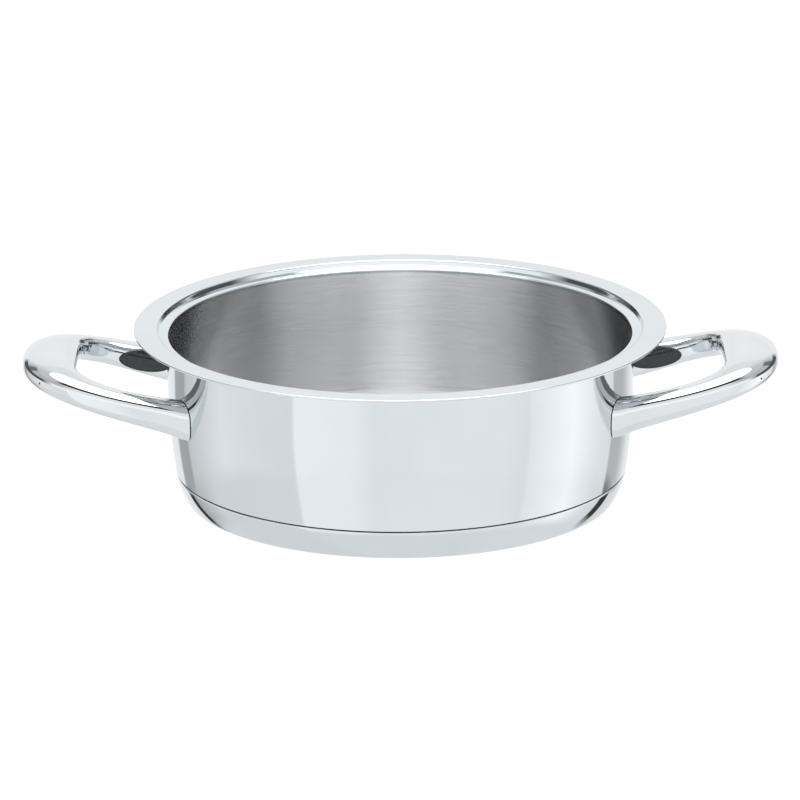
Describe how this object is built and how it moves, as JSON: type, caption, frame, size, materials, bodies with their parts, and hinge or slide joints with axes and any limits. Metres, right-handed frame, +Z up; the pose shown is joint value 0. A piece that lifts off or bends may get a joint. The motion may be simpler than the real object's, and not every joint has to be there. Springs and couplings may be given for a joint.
{
  "type": "cooking pot",
  "caption": "Low polished steel casserole with a wide flat rim, stepped lid seat, capsule base and hollow loop handles with black oval inlays.",
  "frame": {"origin": "on the table under the middle of the pot", "axes": "+Z up out of the mouth, +X towards the right handle, +Y away from the viewer of the picture"},
  "size_m": [0.387, 0.2728, 0.0903],
  "materials": {
    "pot_steel": "mirror polished outside, finely brushed round the inside",
    "base_steel": "mirror polished",
    "core_aluminium": "as pressed",
    "handle_steel": "mirror polished",
    "foot_steel": "dull, as welded",
    "inlay_black": "gloss"
  },
  "bodies": {
    "root": {"pot_body": "pot_steel", "base_cap": "base_steel", "base_core": "core_aluminium", "left_handle": "handle_steel", "right_handle": "handle_steel", "left_front_foot": "foot_steel", "left_rear_foot": "foot_steel", "right_front_foot": "foot_steel", "right_rear_foot": "foot_steel", "left_front_inlay": "inlay_black", "left_rear_inlay": "inlay_black", "right_front_inlay": "inlay_black", "right_rear_inlay": "inlay_black"}
  },
  "joints": []
}
